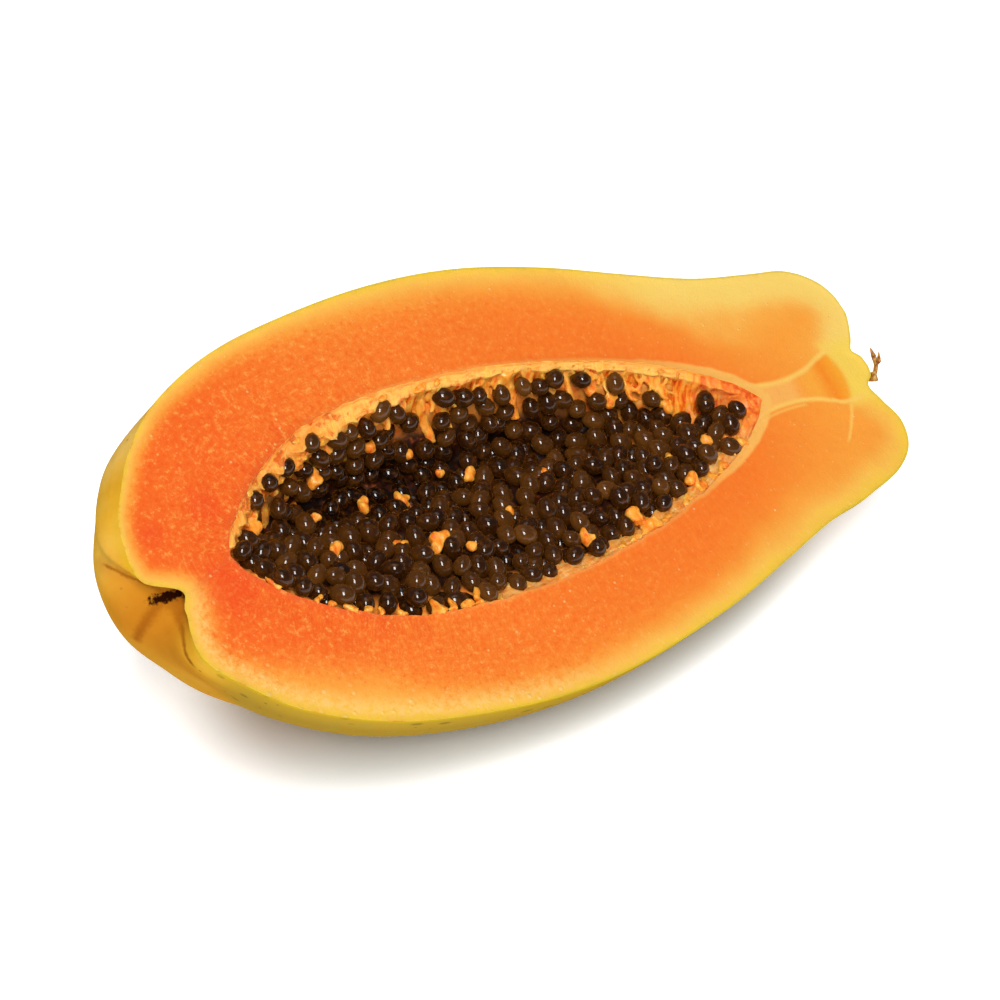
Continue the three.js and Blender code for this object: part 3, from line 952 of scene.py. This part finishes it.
# ---- Placenta ----
# Soft peach fibres that held the seeds. They hang in thick strands from the rim of the cavity
# over the outermost seeds, and a few torn lumps lie among the seeds.
# Big strands: x and angle at the top, x and angle at the foot, radius at the top and the foot.
COLUMNS = [
    (-100, 16, -97, 46, 1.9, 1.3), (-92, 8, -89, 34, 2.0, 1.2), (-83, 6, -79, 30, 2.1, 1.3),
    (-70, 4, -67, 26, 2.0, 1.1), (-60, 4, -55, 24, 2.2, 1.3), (-47, 4, -45, 24, 1.8, 1.2),
    (-37, 3, -34, 22, 2.1, 1.3), (-24, 3, -17, 40, 2.7, 1.4), (-18, 3, -12, 34, 2.3, 1.5),
    (-13, 7, -9, 26, 1.3, 0.9), (1, 8, 4, 38, 1.6, 1.1), (7.5, 5, 12, 36, 2.4, 1.4),
    (20, 6, 24, 34, 1.4, 1.2), (28.5, 9, 30, 28, 1.1, 0.9), (34, 12, 36, 22, 1.5, 1.8),
    (40, 12, 43, 30, 1.2, 0.9), (46, 10, 50, 34, 1.1, 0.9), (54, 8, 60, 34, 1.3, 0.9),
]
# Thin strands between them, and tufts that lean in from the low rim: first and last x, angle
# at the rim, angle at the end, how many, radii, reach inward.
STRANDS = [
    (-102, -60, 6, 24, 14, 1.3, 0.8, 5), (-60, -20, 4, 16, 14, 1.2, 0.7, 4),
    (-20, 34, 4, 18, 18, 1.1, 0.6, 4), (34, 64, 5, 24, 14, 1.0, 0.6, 4),
    (-98, -62, 179, 177, 7, 1.4, 0.8, 3), (-58, -40, 179, 176, 7, 1.5, 0.8, 5),
    (-36, 0, 176, 172, 6, 1.2, 0.7, 3), (2, 32, 176, 170, 9, 1.4, 0.8, 5),
    (32, 68, 176, 168, 10, 1.4, 0.8, 4), (66, 78, 150, 140, 6, 1.2, 0.8, 4),
]
# Torn lumps: x, y, size.
LUMPS = [
    (-40, -13, 2.8), (-50, -8, 1.6), (-71, -5, 1.9), (-49, 10, 2.0), (-36, 8, 2.2), (-10, 10, 2.2),
    (3, -26, 2.2), (22, -24, 2.6), (-32, -17, 1.6), (48, -18, 2.2), (-40, 24, 2.2), (-29, 21, 2.4),
    (-92, 9, 2.8), (-64, 20, 2.4), (42, 16, 2.0), (60, 9, 2.2), (-12, -8, 1.8), (61, -8, 1.8),
    (46, -9, 1.6), (-20, 12, 1.6), (9, 2, 1.4), (-66, 9, 1.5), (70, -12, 2.0), (27, -27, 2.2),
]
# Each lump is a few balls that run together, lifted over the heap.
LUMP_BALLS, LUMP_SCALE, BALL_SHARE, LUMP_LIFT = 4, 1.2, 0.6, 2.8
VOXEL = 0.00045


def on_wall(x, degrees, inset):
    """A point inside the cavity, an inset in from its wall at an angle below the raised rim."""
    half = max(float(cavity_half(x)) - inset, 0.5)
    angle = math.radians(degrees)
    return Vector((x, half * math.cos(angle) + CAVITY_SHIFT, -CAVITY_DEPTH * half * math.sin(angle)))


def to_row(point):
    return Vector(placed(np.array([point]))[0])


def add_ball(radius, place=(0, 0, 0)):
    bpy.ops.object.select_all(action="DESELECT")
    bpy.ops.mesh.primitive_ico_sphere_add(subdivisions=2, radius=radius, location=place)
    return bpy.context.object


draw = random.Random(52)
fibres = bpy.data.curves.new("placenta", "CURVE")
fibres.dimensions = "3D"
fibres.bevel_depth = 0.001
fibres.bevel_resolution = 2
fibres.resolution_u = 5
fibres.use_fill_caps = True


def fibre(start, end, angles, radii, reach, wobble):
    """One strand down the wall: its foot stands off the wall by its reach."""
    fit = min(1.0, float(cavity_half(start)) / 20)
    line = fibres.splines.new("BEZIER")
    line.bezier_points.add(4)
    for j, knot in enumerate(line.bezier_points):
        s = j / 4
        x = start + (end - start) * s + draw.uniform(-wobble, wobble) * s
        angle = angles[0] + (angles[1] - angles[0]) * s
        knot.co = to_row(on_wall(x, angle, (0.2 + reach * s**1.2) * fit))
        knot.handle_left_type = knot.handle_right_type = "AUTO"
        knot.radius = (radii[0] + (radii[1] - radii[0]) * s) * draw.uniform(0.75, 1.25) * fit


for x, angle, foot, low_angle, thick, thin in COLUMNS:
    fibre(x, foot, (angle, low_angle), (thick, thin), reach=5.6, wobble=1.2)
    top, end = x + draw.uniform(-2.5, 2.5), foot + draw.uniform(-2, 2)
    fibre(top, end, (angle + 2, low_angle * 0.8), (thin, thin * 0.7), reach=4.5, wobble=1.6)
for first, last, rim_angle, end_angle, count, thick, thin, reach in STRANDS:
    for k in range(count):
        x = first + (last - first) * (k + draw.uniform(0.0, 1.0)) / count
        share = draw.uniform(0.45, 1.2)
        turns = rim_angle, rim_angle + (end_angle - rim_angle) * share
        fibre(x, x + draw.uniform(-3.5, 3.5), turns, (thick, thin), reach * share, wobble=1.0)
pick(add_object("placenta", fibres))
bpy.ops.object.convert(target="MESH")
placenta = bpy.context.object
for x, y, size in LUMPS:
    size = size * LUMP_SCALE
    for _ in range(LUMP_BALLS):
        spot = [middle + draw.uniform(-1, 1) * size * BALL_SHARE for middle in (x, y)]
        spot = to_row([*spot, heap_at(x, y) + LUMP_LIFT + draw.uniform(-0.5, 0.9)])
        ball = add_ball(size * BALL_SHARE / 1000, spot)
        ball.scale = [draw.uniform(0.6, 1.5) for _ in range(3)]
        ball.rotation_euler = [draw.uniform(0, 3) for _ in range(3)]
        pick(placenta, ball)
        bpy.ops.object.join()
placenta.name = placenta.data.name = "placenta"
fused = placenta.modifiers.new("fused", "REMESH")
fused.mode = "VOXEL"
fused.voxel_size = VOXEL
eased = placenta.modifiers.new("eased", "SMOOTH")
eased.factor, eased.iterations = 0.5, 3
for step in ("fused", "eased"):
    bpy.ops.object.modifier_apply(modifier=step)
corners, outward = kept(placenta.data, "co"), kept(placenta.data, "normal")
fibre_places = (corners * 1000 - FRUIT_PLACE) @ FRUIT_TURN
ruffle = 0.3 * wave(fibre_places * (1.2, 0.35, 0.35), 1.5, 8) + 0.3 * wave(fibre_places, 1.8, 9)
corners += outward * ruffle[:, None] / 1000
placenta.data.vertices.foreach_set("co", corners.ravel())
note(placenta.data, "fruit_cm", fibre_places / 10)
placenta.data.shade_smooth()
fibre_paint, tree, shader = new_material("placenta_fibre")
place = measure(tree, "fruit_cm", "Vector")
pulp = mottle(stretched(place, (1.6, 0.6, 0.6)), 4.0)
# The paler stops go past 255: painted light that makes up for the shade the strands hang in.
colour = ramp(pulp, [(0.32, (244, 112, 20)), (0.48, (262, 162, 50)), (0.7, (272, 196, 86))])
finish_surface(
    shader, Base_Color=colour, Roughness=between(pulp, 0.3, 0.7, 0.45, 0.28),
    Normal=bumps(0.5, 0.0006, pulp),
    Subsurface_Weight=0.6, Subsurface_Scale=0.003, Subsurface_Radius=(1.0, 0.55, 0.25),
    Specular_IOR_Level=0.25,
)
placenta.data.materials.clear()
placenta.data.materials.append(fibre_paint)
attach(placenta, "root")
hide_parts("seed_heap")

# ---- Seeds ----
# Ripe seeds, each a dark brown kernel in a clear wet skin. Some hang in the tissue of the raised
# wall, the rest are thrown over the bed, and a throw too near an earlier seed is passed over.
SEED_SIZE = (3.65, 2.85, 2.75)
THROW_X, THROW_Y = (-105, 84), (-35, 35)
HOLLOW_DEPTH = 2.5
# Layers of thrown seeds: start of the draws, tries, pitch, lowest lift over the heap, range of lift.
LAYERS = [(4711, 9000, 5.05, 0.4, 2.4), (1931, 9000, 4.6, -2.8, 2.4)]
# Spots with no thrown seeds, where the tissue shows: x, y, radius.
OPEN_SPOTS = [(-21, 28, 6.5), (24, -25, 5.0), (-96, 11, 4.5)]
WALL_SEEDS = [
    (-64.4, 26.8, -3.4), (-54.4, 26.8, -6.5), (-43.2, 27.7, -6.7), (-31.5, 29.5, -6.7),
    (-74.6, 22.2, -4.9), (-83.1, 18.7, -3.5), (-89.6, 15.2, -4.3), (-79.4, 13.3, -11),
    (-101, 1.1, -2.7), (-96.1, 4.9, -6), (-46.4, 24.8, -11.3), (-40, 21, -15), (-8, 26.5, -12),
    (-7.5, 29.5, -7.6), (-60.4, 23.8, -9.5), (67, -12, -1.6), (72, -4.6, -2.4), (70, 5.5, -5),
    (-26, 27.5, -10.6),
]


def lehmer(state):
    """Repeatable draws from 0 to 1."""
    while True:
        state = state * 16807 % 2147483647
        yield state / 2147483647


def hollow(x, y):
    """1 in the sunken part of the heap, 0 outside it."""
    return math.exp(-(((x + 38) / 22) ** 2) - ((y - 13) / 9) ** 2)


def bare(x, y):
    """How much further from the wall the seeds stay where the tissue shows."""
    if any(math.hypot(x - spot[0], y - spot[1]) < spot[2] for spot in OPEN_SPOTS):
        return 30.0
    # More tissue shows along the raised side at the blossom end, and on the low side at the stem end.
    if y > 4:
        return 1.5 * float(smooth(-x, 42, 62))
    return 1.4 * float(smooth(x, 2, 16))


def thrown_seeds(places, state, tries, pitch, lift, spread):
    """Adds one layer of seeds to the places already taken, and gives the new ones."""
    draw = lehmer(state)
    found = []
    for _ in range(tries):
        x = THROW_X[0] + (THROW_X[1] - THROW_X[0]) * next(draw)
        y = THROW_Y[0] + (THROW_Y[1] - THROW_Y[0]) * next(draw)
        z = heap_at(x, y) + lift + spread * next(draw) - HOLLOW_DEPTH * hollow(x, y)
        wall = cavity_half(x) - math.hypot(y - CAVITY_SHIFT, min(z, 0) / CAVITY_DEPTH)
        slope = (cavity_half(x + 2) - cavity_half(x - 2)) / 4
        if wall / math.hypot(1, slope) < SEED_SIZE[1] + BED_GAP + bare(x, y):
            continue
        here = np.array([x, y, z])
        if min(np.linalg.norm(here - other) for other in places) < pitch:
            continue
        places.append(here)
        found.append(here)
    return found


pattern = add_ball(1.0)
shape = kept(pattern.data, "co")
sides = np.zeros(len(pattern.data.loops), int)
pattern.data.loops.foreach_get("vertex_index", sides)
sides = sides.reshape(-1, 3)
bpy.data.objects.remove(pattern)

seed_places = [np.array(spot) for spot in WALL_SEEDS]
for layer in LAYERS:
    thrown_seeds(seed_places, *layer)
seed_points, seed_faces, seed_tone_and_shade = [], [], []
tones = lehmer(97)
for here in seed_places:
    # Most lie with their long side across the fruit and nearly level.
    turn = (6.3 * next(tones), 1.2 * (next(tones) - 0.5), 1.57 + 2.4 * (next(tones) - 0.5))
    egg = shape * SEED_SIZE * (0.90 + 0.20 * next(tones))
    egg[:, 1:] *= (1 - 0.10 * shape[:, :1])
    turned = np.array(Euler(turn).to_matrix())
    egg = egg @ turned.T
    facing = np.maximum((shape @ turned.T)[:, 2], 0)
    seed_faces.append(sides + len(shape) * len(seed_faces))
    seed_points.append(egg + here)
    # Painted shade: seeds in the sunken hollow and sunk deeper in the heap get a darker tone, on top of
    # a random tone.
    sunk = heap_at(here[0], here[1]) + 1.5 - here[2]
    dark = 0.8 * hollow(here[0], here[1]) + 0.25 * max(sunk, 0) / 3
    tone_and_shade = (0.25 + 0.6 * next(tones)) * (1 - dark) + 0.1 - 0.3 * dark
    # Each seed is darker where it faces out of the cut: the dark kernel seen through the skin, with the
    # paler sides as painted light through the clear skin.
    seed_tone_and_shade.append(np.maximum(tone_and_shade - 0.3 * facing**2, 0))
seed_points = np.concatenate(seed_points)
seed_mesh = bpy.data.meshes.new("seeds")
seed_mesh.from_pydata(placed(seed_points).tolist(), [], np.concatenate(seed_faces).tolist())
seeds = add_object("seeds", seed_mesh)
note(seed_mesh, "fruit_cm", seed_points / 10)
note(seed_mesh, "tone_and_shade", np.concatenate(seed_tone_and_shade))
seed_mesh.shade_smooth()
seed_paint, tree, shader = new_material("wet_seed")
place = measure(tree, "fruit_cm", "Vector")
tone_and_shade = measure(tree, "tone_and_shade")
ripple = mottle(place, 6.0, 2.0)
colour = ramp(tone_and_shade, [(0.0, (20, 6, 1)), (0.35, (54, 26, 5)), (0.7, (84, 48, 13)), (1.0, (122, 74, 26))])
colour = glazed(colour, between(ripple, 0.45, 0.75, 0.0, 0.35), (122, 68, 16))
finish_surface(
    shader, Base_Color=colour, Roughness=0.4,
    Normal=bumps(0.25, 0.0006, ripple), Specular_IOR_Level=0.0, Coat_Weight=1.0,
    Coat_IOR=1.38, Coat_Roughness=0.09, Sheen_Weight=0.13, Sheen_Roughness=0.35,
    Sheen_Tint=shade(255, 150, 50), Subsurface_Weight=0.2, Subsurface_Scale=0.0015,
    Subsurface_Radius=(1.0, 0.45, 0.15),
)
seed_mesh.materials.append(seed_paint)
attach(seeds, "root")
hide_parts("seed_heap")

# ---- Dried stalk ----
# What is left of the fruit stalk: a small corky nub with a few curled dry threads. The CAD solid
# stays, with a brown mottled material.
stalk_paint, tree, shader = new_material("dry_stalk")
where = Signal(node(tree, "ShaderNodeTexCoord"), "Object")
husk = mottle(where, 900.0)
colour = ramp(husk, [(0.35, (120, 62, 18)), (0.52, (196, 134, 52)), (0.7, (228, 182, 92))])
finish_surface(shader, Base_Color=colour, Roughness=0.8, Normal=bumps(0.5, 0.0003, husk))
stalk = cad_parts["stem_remnant"]
stalk.data.materials.clear()
stalk.data.materials.append(stalk_paint)
